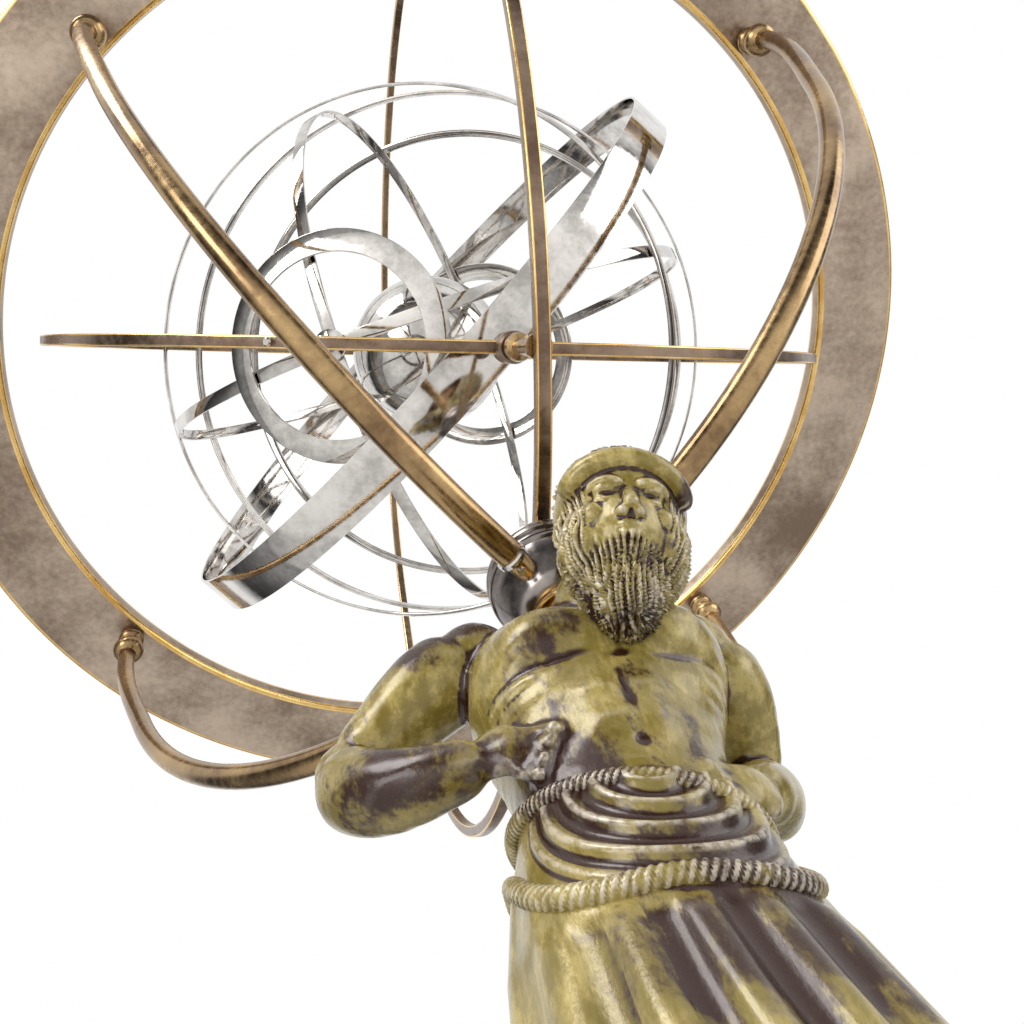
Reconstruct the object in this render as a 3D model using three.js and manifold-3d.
// An armillary sphere carried by a standing figure: plinth, figure, hub, four bowed arms, horizon band,
// fixed meridian, turning meridian, nickel celestial sphere with its zodiac band, and the earth ball.
// Millimetres, +Z up, origin at the bottom centre of the plinth; the figure faces -Y.
import * as THREE from 'three';
import { mergeVertices } from 'three/addons/utils/BufferGeometryUtils.js';
import Module from 'manifold-3d';

const wasm = await Module();
wasm.setup();

// ---- driving dimensions (mm) -------------------------------------------------------------------
const R = 200;                       // inner radius of the horizon band
const GAP = 0.3;                     // gap between pieces that touch
const CENTRE_Z = 2.75 * R;           // height of the sphere's centre above the table
const BAR = 0.022 * R;               // square section of both meridians
const FIXED_MERIDIAN_R = 1.10 * R;
const TURNING_MERIDIAN_R = 0.90 * R;
const BAND = { inner: R, outer: 1.199 * R, bottom: -0.10 * R, top: -0.055 * R, bevel: 0.012 * R };
const TUBE_R = 0.0195 * R;
const SOCKET_R = 0.056 * R;          // where the tubes end inside the hub
const COLLAR_GAP = 0.6;              // room in each collar for the tube's bow
const ARM = { root: 0.06 * R, reach: 0.959 * R, lift: 1.187 * R, zero: -0.024 * R, flare: 0.03 * R, turn: 82 };
const ARM_AZIMUTHS = [43.5, 137.4, -134.8, -46.4];
const HUB_TOP = -1.10 * R;
const SHELL = 0.653 * R;             // mean radius of the celestial sphere's parallels
const STRIP = { width: 0.027 * R, thick: 0.006 * R, step: 0.0095 * R };
const TROPIC_LATITUDE = 21.5;
const POLAR_RINGS = { near: [0.179 * R, 0.2246 * R], far: [0.235 * R, 0.285 * R] };
const ZODIAC = { radius: 0.776 * R, offset: 0.019 * R, width: 0.093 * R, thick: 0.006 * R };
const EARTH_R = 0.19 * R;
const PIN_R = 1.5;
const AXLE_R = 1.4;
const RUNNING = 0.08;                // radial clearance of a running fit
const PLINTH_TOP = -2.50 * R;

// ---- directions ---------------------------------------------------------------------------------
const Z = new THREE.Vector3(0, 0, 1);
const direction = (x, y, z) => new THREE.Vector3(x, y, z).normalize();
const tilt = THREE.MathUtils.degToRad(16.2);
const POLE = direction(0, Math.sin(tilt), Math.cos(tilt));
const MERIDIAN_NORMAL = direction(-0.051, 0.955, -0.2935).projectOnPlane(POLE).normalize();
const SKY_AXIS = direction(-0.415, -0.275, -0.868).projectOnPlane(MERIDIAN_NORMAL).normalize();
const COLURE_NORMAL = direction(0.286, 0.866, -0.410).projectOnPlane(SKY_AXIS).normalize();
const COLURE_CROSS = SKY_AXIS.clone().cross(COLURE_NORMAL).normalize();
const ZODIAC_NORMAL = direction(-0.7322, -0.6587, 0.1734);

// ---- materials ----------------------------------------------------------------------------------
const metal = (color, roughness) => () => new THREE.MeshStandardMaterial({ color, roughness, metalness: 1 });
const antiqueBrass = metal(0x8a6a3a, 0.35);
const brownBrass = metal(0x6e5640, 0.4);
const nickel = metal(0xcfcac0, 0.15);
const pewter = metal(0x6f665f, 0.3);
const verdigris = () => new THREE.MeshStandardMaterial({ color: 0x8f8c50, roughness: 0.35, metalness: 0.4 });

// ---- solids -------------------------------------------------------------------------------------

/** One closed surface: shared corners merged, slivers dropped, faces turned outward. */
function closed(source) {
  const bare = (source.index ? source.toNonIndexed() : source).clone();
  bare.deleteAttribute('normal');
  bare.deleteAttribute('uv');
  const merged = mergeVertices(bare, 1e-4);
  const place = merged.getAttribute('position');
  const corner = (i) => new THREE.Vector3().fromBufferAttribute(place, i);
  const faces = [];
  let volume = 0;
  for (let i = 0; i < merged.index.count; i += 3) {
    const [a, b, c] = [0, 1, 2].map((k) => merged.index.getX(i + k));
    if (a !== b && b !== c && c !== a) {
      faces.push([a, b, c]);
      volume += corner(a).dot(corner(b).cross(corner(c)));
    }
  }
  const order = volume < 0 ? faces.map(([a, b, c]) => [a, c, b]) : faces;
  merged.setIndex(order.flat());
  return merged;
}

function toSolid(geometry) {
  const shape = closed(geometry);
  const vertProperties = Float32Array.from(shape.getAttribute('position').array);
  return new wasm.Manifold(new wasm.Mesh({ numProp: 3, vertProperties, triVerts: Uint32Array.from(shape.index.array) }));
}

function toGeometry(solid) {
  const mesh = solid.getMesh();
  const geometry = new THREE.BufferGeometry();
  geometry.setAttribute('position', new THREE.BufferAttribute(Float32Array.from(mesh.vertProperties), 3));
  geometry.setIndex([...mesh.triVerts]);
  return geometry;
}

const join = (...shapes) => toGeometry(shapes.map(toSolid).reduce((a, b) => a.add(b)));
const cut = (shape, ...tools) => toGeometry(tools.map(toSolid).reduce((a, b) => a.subtract(b), toSolid(shape)));

/** A solid turned about Z from [radius, height] points that start and end on the axis, or close on themselves. */
function turned(points, segments) {
  const outline = points.map(([r, z]) => new THREE.Vector2(r, z));
  return closed(new THREE.LatheGeometry(outline, segments).rotateX(Math.PI / 2));
}

function aim(geometry, axis, from = new THREE.Vector3()) {
  geometry.applyQuaternion(new THREE.Quaternion().setFromUnitVectors(Z, axis.clone().normalize()));
  return geometry.translate(from.x, from.y, from.z);
}

/** A round bar from distance a to distance b along an axis through the sphere's centre. */
const rod = (radius, a, b, axis, sides = 16) =>
  aim(turned([[0, a], [radius, a], [radius, b], [0, b]], sides), axis);

/** A strip hoop lying in the spherical shell between two radii and two latitudes (degrees). */
function hoop(inner, outer, low, high, axis, segments = 48) {
  const at = (radius, latitude) => {
    const angle = THREE.MathUtils.degToRad(latitude);
    return [radius * Math.cos(angle), radius * Math.sin(angle)];
  };
  const ring = [at(outer, low), at(outer, high), at(inner, high), at(inner, low), at(outer, low)];
  return aim(turned(ring, segments), axis);
}

const latitudeHalf = (width, radius) => THREE.MathUtils.radToDeg(width / 2 / radius);

/** A square-section ring about an axis. */
function squareRing(radius, axis, segments) {
  const h = BAR / 2;
  const ring = [[radius + h, -h], [radius + h, h], [radius - h, h], [radius - h, -h], [radius + h, -h]];
  return aim(turned(ring, segments), axis);
}

function block(x, y, z, at) {
  return new THREE.BoxGeometry(x, y, z).translate(at.x, at.y, at.z);
}

function ball(centre, radii, across = 12, up = 7) {
  const shape = new THREE.SphereGeometry(1, across, up).rotateX(Math.PI / 2);
  return shape.scale(...radii.map((v) => v * R)).translate(...centre.map((v) => v * R));
}

/** A limb between two points with a round end of its own radius at each. */
function limb(a, b, radiusA, radiusB, sides = 10) {
  const from = new THREE.Vector3(...a).multiplyScalar(R);
  const along = new THREE.Vector3(...b).multiplyScalar(R).sub(from);
  const length = along.length();
  const points = [];
  for (let i = 0; i <= 3; i += 1) {
    const angle = (i / 3) * Math.PI / 2;
    points.push([radiusA * R * Math.sin(angle), -radiusA * R * Math.cos(angle)]);
  }
  for (let i = 0; i <= 3; i += 1) {
    const angle = (i / 3) * Math.PI / 2;
    points.push([radiusB * R * Math.cos(angle), length + radiusB * R * Math.sin(angle)]);
  }
  points[0][0] = 0;
  points[points.length - 1][0] = 0;
  return aim(turned(points, sides), along, from);
}

// ---- the assembly -------------------------------------------------------------------------------
const armillary = new THREE.Group();
const sphereFrame = new THREE.Group();
sphereFrame.position.z = CENTRE_Z;
armillary.add(sphereFrame);

function add(name, geometry, material) {
  const mesh = new THREE.Mesh(closed(geometry), material());
  mesh.name = name;
  sphereFrame.add(mesh);
}

// Plinth: a broad foot and a drum under the figure.
const FOOT_BOTTOM = -CENTRE_Z;
const DRUM_BOTTOM = FOOT_BOTTOM + 18;
add('plinth_foot', turned([
  [0, FOOT_BOTTOM], [88, FOOT_BOTTOM], [90, FOOT_BOTTOM + 2], [90, FOOT_BOTTOM + 9], [84, FOOT_BOTTOM + 14],
  [80, DRUM_BOTTOM], [0, DRUM_BOTTOM],
], 40), brownBrass);
add('plinth_drum', turned([
  [0, DRUM_BOTTOM + GAP], [70, DRUM_BOTTOM + GAP], [64, DRUM_BOTTOM + 6], [60, PLINTH_TOP - 10],
  [66, PLINTH_TOP - 5], [66, PLINTH_TOP], [0, PLINTH_TOP],
], 40), brownBrass);

// Figure: one casting, standing with both hands on the hips.
const stud = rod(0.016 * R, -1.335 * R, -1.2495 * R, Z, 12);
const studHole = rod(0.016 * R + GAP, -1.336 * R, -1.20 * R, Z, 12);

function figure() {
  const kilt = turned([
    [0, -2.02 * R], [0.185 * R, -2.02 * R], [0.150 * R, -1.76 * R], [0.128 * R, -1.64 * R],
    [0.105 * R, -1.60 * R], [0, -1.60 * R],
  ], 16).scale(1, 0.80, 1).translate(-0.022 * R, 0, 0);
  const shapes = [
    ball([-0.012, 0.000, -1.435], [0.160, 0.095, 0.125], 14, 9),
    ball([-0.005, 0.030, -1.365], [0.125, 0.070, 0.075]),
    ball([-0.020, 0.000, -1.565], [0.112, 0.080, 0.130], 14, 8),
    ball([0.030, -0.170, -1.315], [0.080, 0.085, 0.110], 14, 9),
    ball([0.004, -0.175, -1.430], [0.055, 0.052, 0.085]),
    limb([0.000, -0.030, -1.390], [0.024, -0.135, -1.340], 0.062, 0.058),
    kilt,
  ];
  for (const side of [-1, 1]) {
    const shoulder = [side * 0.165 - 0.012, 0.000, -1.372];
    const elbow = [side * 0.285 - 0.015, 0.045, -1.490];
    const hand = [side * 0.125 - 0.022, -0.015, -1.575];
    shapes.push(limb(shoulder, elbow, 0.054, 0.038));
    shapes.push(limb(elbow, hand, 0.038, 0.033));
    const knee = [side * 0.072 - 0.012, -0.020, -2.060];
    const ankle = [side * 0.080 - 0.008, 0.010, -2.440];
    shapes.push(limb([side * 0.065 - 0.015, 0, -1.80], knee, 0.070, 0.055));
    shapes.push(limb(knee, ankle, 0.055, 0.034));
    shapes.push(limb(ankle, [side * 0.095 - 0.008, -0.105, -2.462], 0.034, 0.026));
  }
  const floor = block(R, R, 0.2 * R, new THREE.Vector3(0, 0, PLINTH_TOP + GAP - 0.1 * R));
  return cut(join(...shapes), floor, studHole);
}
add('figure_casting', figure(), verdigris);
add('nape_stud', stud, antiqueBrass);

// Hub: a stepped dome with four tube sockets; the fixed meridian sits in its top slot.
const azimuths = ARM_AZIMUTHS.map((degrees) => THREE.MathUtils.degToRad(degrees));
const outward = azimuths.map((a) => new THREE.Vector3(Math.cos(a), Math.sin(a), 0));
const ARM_Z = ARM.zero - ARM.lift;
const hubBody = turned([
  [0, -1.248 * R], [0.044 * R, -1.248 * R], [0.060 * R, -1.240 * R], [0.078 * R, -1.205 * R],
  [0.084 * R, -1.184 * R], [0.080 * R, -1.180 * R], [0.088 * R, -1.174 * R], [0.088 * R, -1.164 * R],
  [0.081 * R, -1.158 * R], [0.088 * R, -1.152 * R], [0.086 * R, -1.138 * R], [0.060 * R, -1.114 * R],
  [0.030 * R, HUB_TOP], [0, HUB_TOP],
], 28);
const sockets = outward.map((way) => {
  const start = way.clone().multiplyScalar(SOCKET_R - GAP).setZ(ARM_Z);
  return aim(turned([[0, 0], [TUBE_R + GAP, 0], [TUBE_R + GAP, 0.1 * R], [0, 0.1 * R]], 12), way, start);
});
const slot = block(BAR + 2 * GAP, 0.4 * R, 0.2 * R, new THREE.Vector3(0, 0, -1.013 * R));
add('hub', cut(hubBody, slot, ...sockets), pewter);
add('nape_cup', turned([
  [0.020 * R, -1.2505 * R], [0.036 * R, -1.2505 * R], [0.052 * R, -1.262 * R], [0.058 * R, -1.272 * R],
  [0.054 * R, -1.274 * R], [0.044 * R, -1.266 * R], [0.034 * R, -1.2565 * R], [0.020 * R, -1.2565 * R],
  [0.020 * R, -1.2505 * R],
], 24), antiqueBrass);

// Four bowed arms: each tube sweeps out and up from its socket to a beaded connector under the band.
class BowedArm extends THREE.Curve {
  constructor(way) {
    super();
    this.way = way;
  }

  getPoint(t, target = new THREE.Vector3()) {
    const angle = THREE.MathUtils.degToRad(t * ARM.turn);
    const flare = ARM.flare * THREE.MathUtils.smoothstep(t, 0.76, 1);
    const radius = ARM.root + ARM.reach * Math.sin(angle) + flare;
    return target.copy(this.way).multiplyScalar(radius).setZ(ARM.zero - ARM.lift * Math.cos(angle));
  }
}

function circleShape(radius, sides) {
  const points = [];
  for (let i = 0; i < sides; i += 1) {
    const angle = (i / sides) * 2 * Math.PI;
    points.push(new THREE.Vector2(radius * Math.cos(angle), radius * Math.sin(angle)));
  }
  return new THREE.Shape(points);
}

outward.forEach((way, i) => {
  const curve = new BowedArm(way);
  const sweep = { extrudePath: curve, steps: 26, bevelEnabled: false };
  add(`arm_${i + 1}`, new THREE.ExtrudeGeometry(circleShape(TUBE_R, 8), sweep), antiqueBrass);
  const top = curve.getPoint(1);
  const low = top.z + 1.2;
  const high = BAND.bottom - GAP;
  const bead = (a) => a * (high - low) + low;
  const bud = turned([
    [0, low], [0.026 * R, low], [0.033 * R, bead(0.12)], [0.036 * R, bead(0.30)], [0.031 * R, bead(0.52)],
    [0.020 * R, bead(0.60)], [0.028 * R, bead(0.70)], [0.030 * R, bead(0.84)], [0.023 * R, bead(1)], [0, bead(1)],
  ], 14).translate(top.x, top.y, 0);
  add(`arm_connector_${i + 1}`, bud, antiqueBrass);
  const collar = turned([
    [TUBE_R + COLLAR_GAP, 0], [TUBE_R + 1.6, 0], [TUBE_R + 1.6, 1.6], [TUBE_R + COLLAR_GAP, 1.6],
    [TUBE_R + COLLAR_GAP, 0],
  ], 14);
  const collarPlace = way.clone().multiplyScalar(0.096 * R).setZ(ARM_Z);
  add(`arm_collar_${i + 1}`, aim(collar, way, collarPlace), nickel);
  const screw = rod(1.1, 0, 1.4, Z, 8).translate(way.x * 0.088 * R, way.y * 0.088 * R, ARM_Z - TUBE_R - 2.0);
  add(`set_screw_${i + 1}`, screw, nickel);
});

// Horizon band, slotted where the fixed meridian passes.
const bandBody = turned([
  [BAND.inner + BAND.bevel, BAND.bottom], [BAND.outer - BAND.bevel, BAND.bottom],
  [BAND.outer, BAND.bottom + BAND.bevel], [BAND.outer, BAND.top], [BAND.inner, BAND.top],
  [BAND.inner, BAND.bottom + BAND.bevel], [BAND.inner + BAND.bevel, BAND.bottom],
], 64);
const bandSlots = [-1, 1].map((side) => {
  const at = new THREE.Vector3(0, side * 1.095 * R, -0.08 * R);
  return block(BAR + 2 * GAP, 0.034 * R + 2 * GAP, 0.2 * R, at);
});
add('horizon_band', cut(bandBody, ...bandSlots), brownBrass);

// Fixed meridian and the two pivot pegs that carry the turning meridian.
add('fixed_meridian', squareRing(FIXED_MERIDIAN_R, new THREE.Vector3(1, 0, 0), 64), brownBrass);
const pegEnd = TURNING_MERIDIAN_R - BAR / 2 + 1;
const pegStart = FIXED_MERIDIAN_R - BAR / 2 - GAP - 0.4;
const COLLAR = { radius: 0.026 * R, top: TURNING_MERIDIAN_R + BAR / 2 + 0.03 * R };
[['lower', -1], ['upper', 1]].forEach(([name, side]) => {
  const axis = POLE.clone().multiplyScalar(side);
  add(`pivot_peg_${name}`, rod(2.2, pegEnd, pegStart, axis), antiqueBrass);
});

// Turning meridian with its two pivot collars and the two pole holes.
const turningBody = join(
  squareRing(TURNING_MERIDIAN_R, MERIDIAN_NORMAL, 60),
  ...[-1, 1].map((side) => rod(COLLAR.radius, TURNING_MERIDIAN_R - BAR / 2 + 0.2, COLLAR.top,
    POLE.clone().multiplyScalar(side), 18)),
);
const boreStart = TURNING_MERIDIAN_R - 0.05 * R;
const bores = [-1, 1].flatMap((side) => [
  rod(2.2 + RUNNING, boreStart, COLLAR.top + 1, POLE.clone().multiplyScalar(side), 20),
  rod(PIN_R + RUNNING, boreStart, COLLAR.top + 1, SKY_AXIS.clone().multiplyScalar(side), 20),
]);
add('turning_meridian', cut(turningBody, ...bores), brownBrass);

// Celestial sphere: parallels outside, two colures nested inside them.
const shellIn = SHELL - STRIP.thick / 2;
const shellOut = SHELL + STRIP.thick / 2;
const half = latitudeHalf(STRIP.width, SHELL);
add('equator', hoop(shellIn, shellOut, -half, half, SKY_AXIS), nickel);
[['near', 1], ['far', -1]].forEach(([name, side]) => {
  const axis = SKY_AXIS.clone().multiplyScalar(side);
  add(`tropic_${name}`, hoop(shellIn, shellOut, TROPIC_LATITUDE - half, TROPIC_LATITUDE + half, axis), nickel);
  const [inner, outer] = POLAR_RINGS[name].map((r) => THREE.MathUtils.radToDeg(Math.acos(r / SHELL)));
  add(`polar_ring_${name}`, hoop(shellIn, shellOut, outer, inner, axis, 36), nickel);
});
const colure = (level, axis) => hoop(shellIn - level * STRIP.step, shellOut - level * STRIP.step, -half, half, axis);
add('colure_outer', colure(1, COLURE_NORMAL), nickel);
add('colure_inner', colure(2, COLURE_CROSS), nickel);

// Poles: a turned boss over the colures with its pin running in the turning meridian.
const bossStart = shellOut - STRIP.step + GAP;
const pinTop = TURNING_MERIDIAN_R + BAR / 2 + 2.5;
[['near', 1], ['far', -1]].forEach(([name, side]) => {
  const axis = SKY_AXIS.clone().multiplyScalar(side);
  const boss = turned([
    [0, bossStart], [0.030 * R, bossStart], [0.030 * R, bossStart + 2], [0.016 * R, bossStart + 4],
    [0.016 * R, bossStart + 9], [PIN_R, bossStart + 11], [PIN_R, pinTop], [0, pinTop],
  ], 16);
  add(`pole_pin_${name}`, aim(boss, axis), nickel);
});

// Zodiac band, held off the equator by two studs.
const zodiacHalf = latitudeHalf(ZODIAC.width, ZODIAC.radius);
const zodiacIn = ZODIAC.radius - ZODIAC.thick / 2;
const zodiacLatitude = THREE.MathUtils.radToDeg(Math.asin(ZODIAC.offset / ZODIAC.radius));
const zodiacEdges = [zodiacLatitude - zodiacHalf, zodiacLatitude + zodiacHalf];
add('zodiac_band', hoop(zodiacIn, zodiacIn + ZODIAC.thick, ...zodiacEdges, ZODIAC_NORMAL, 60), nickel);
const crossing = ZODIAC_NORMAL.clone().cross(SKY_AXIS).normalize();
[['near', 1], ['far', -1]].forEach(([name, side]) => {
  const axis = crossing.clone().multiplyScalar(side);
  const standOff = rod(1.6, shellOut + GAP, zodiacIn - 2 * GAP, axis, 10);
  add(`zodiac_stud_${name}`, standOff, nickel);
});

// Earth ball turning on an axle between the poles.
const axleEnd = shellIn - 2 * STRIP.step - 2 * GAP;
add('earth_axle', rod(AXLE_R, -axleEnd, axleEnd, SKY_AXIS), nickel);
const globe = new THREE.SphereGeometry(EARTH_R, 22, 13).rotateX(Math.PI / 2);
add('earth_ball', cut(aim(globe, SKY_AXIS), rod(AXLE_R + RUNNING, -1.2 * EARTH_R, 1.2 * EARTH_R, SKY_AXIS, 20)), nickel);

export default armillary;
